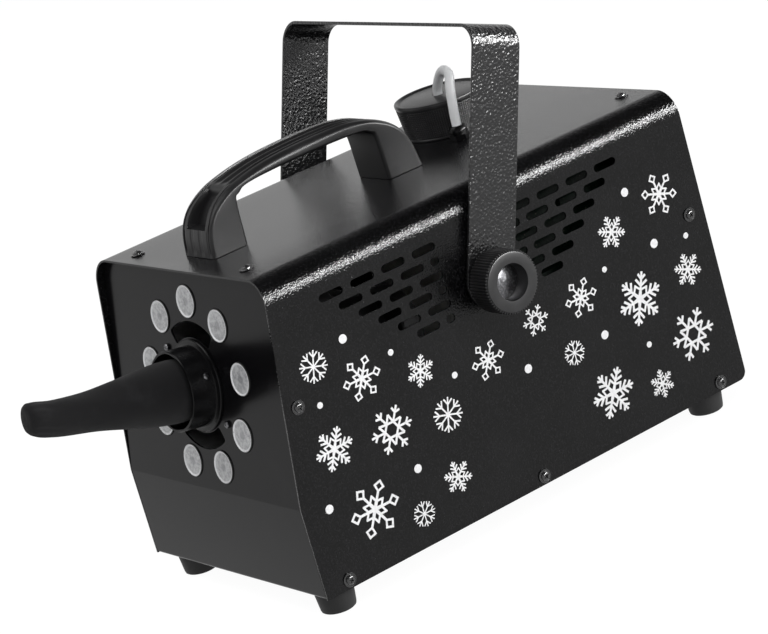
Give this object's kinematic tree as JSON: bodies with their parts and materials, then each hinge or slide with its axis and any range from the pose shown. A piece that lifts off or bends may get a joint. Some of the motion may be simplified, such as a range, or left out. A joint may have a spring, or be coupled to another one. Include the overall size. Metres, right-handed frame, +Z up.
{
  "type": "snow machine",
  "caption": "Stage snow machine: folded steel box with a slotted cover, a lamp ring round a nozzle with a fabric sock, a filler cap with a fluid tube, a carrying handle and a tilting yoke.",
  "frame": {"origin": "under the middle of the whole machine, on the surface its feet stand on", "axes": "+Z up; the nozzle blows towards -Y; the rear panel faces +Y; the yoke turns about the X axis"},
  "size_m": [0.2424, 0.4404, 0.2906],
  "materials": {
    "powder_coat": "fine textured black powder coat",
    "smooth_coat": "smooth satin black coat",
    "black_plastic": "satin moulded plastic",
    "gloss_coat": "glossy black",
    "rubber": "matte",
    "sock_fabric": "matte knitted fabric",
    "zinc_steel": "zinc plated",
    "black_screw": "black zinc",
    "brass": "turned",
    "lens": "frosted clear lens",
    "circuit_board": "solder mask",
    "tank_plastic": "natural translucent",
    "silicone": "translucent white",
    "grey_plastic": "moulded"
  },
  "bodies": {
    "machine": {"cover": "powder_coat", "chassis": "smooth_coat", "handle": "black_plastic", "lamp_board": "circuit_board", "nozzle_collar": "gloss_coat", "air_duct": "zinc_steel", "nozzle_tube": "zinc_steel", "spray_tip": "brass", "sock_ring": "zinc_steel", "snow_sock": "sock_fabric", "blower_housing": "grey_plastic", "blower_motor": "zinc_steel", "motor_bracket": "zinc_steel", "tank": "tank_plastic", "tube_gland": "black_plastic", "pump": "black_plastic", "suction_tube": "silicone", "feed_hose": "silicone", "control_board": "circuit_board", "board_bracket": "zinc_steel", "power_inlet": "black_plastic", "switch_frame": "black_plastic", "level_control": "zinc_steel", "pivot_spacer_right": "rubber", "pivot_spacer_left": "rubber", "side_screw_right_front_mid": "black_screw", "side_screw_right_front_low": "black_screw", "side_screw_right_middle_low": "black_screw", "side_screw_right_rear_low": "black_screw", "side_screw_right_rear_mid": "black_screw", "top_screw_right_front": "black_screw", "top_screw_right_rear": "black_screw", "side_screw_left_front_mid": "black_screw", "side_screw_left_front_low": "black_screw", "side_screw_left_middle_low": "black_screw", "side_screw_left_rear_low": "black_screw", "side_screw_left_rear_mid": "black_screw", "top_screw_left_front": "black_screw", "top_screw_left_rear": "black_screw", "foot_front_left": "rubber", "foot_front_right": "rubber", "foot_rear_left": "rubber", "foot_rear_right": "rubber", "lamp_lens_1": "lens", "lamp_lens_2": "lens", "lamp_lens_3": "lens", "lamp_lens_4": "lens", "lamp_lens_5": "lens", "lamp_lens_6": "lens", "lamp_lens_7": "lens", "lamp_lens_8": "lens", "lamp_lens_9": "lens"},
    "yoke": {"yoke": "powder_coat"},
    "clamp_right": {"clamp_knob_right": "black_plastic"},
    "clamp_left": {"clamp_knob_left": "black_plastic"},
    "cap": {"tank_cap": "black_plastic"},
    "wheel": {"blower_wheel": "grey_plastic"},
    "rocker": {"power_rocker": "black_plastic"},
    "level": {"level_knob": "black_plastic"},
    "drawer": {"fuse_drawer": "black_plastic"}
  },
  "joints": [
    {"name": "yoke_tilt", "type": "hinge", "parent": "machine", "child": "yoke", "pos_m": [0, 0.04121, 0.1472], "axis": [1, 0, 0], "range_deg": [-37.8, 78.2]},
    {"name": "clamp_right_turn", "type": "hinge", "parent": "machine", "child": "clamp_right", "pos_m": [0, 0.04121, 0.1472], "axis": [1, 0, 0], "range_deg": [0, 360]},
    {"name": "clamp_left_turn", "type": "hinge", "parent": "machine", "child": "clamp_left", "pos_m": [0, 0.04121, 0.1472], "axis": [-1, 0, 0], "range_deg": [0, 360]},
    {"name": "cap_turn", "type": "hinge", "parent": "machine", "child": "cap", "pos_m": [-0.0336, 0.12891, 0.2024], "axis": [0, 0, 1], "range_deg": [0, 360]},
    {"name": "wheel_spin", "type": "hinge", "parent": "machine", "child": "wheel", "pos_m": [0, -0.10873, 0.13292], "axis": [0, -0.9844, 0.1762], "continuous": true},
    {"name": "rocker_tip", "type": "hinge", "parent": "machine", "child": "rocker", "pos_m": [0.046, 0.20761, 0.1054], "axis": [1, 0, 0], "range_deg": [0, 24]},
    {"name": "level_turn", "type": "hinge", "parent": "machine", "child": "level", "pos_m": [0.046, 0.20621, 0.1514], "axis": [0, 1, 0], "range_deg": [-135, 135]},
    {"name": "drawer_slide", "type": "slide", "parent": "machine", "child": "drawer", "axis": [0, 1, 0], "range_m": [0, 0.013]}
  ]
}
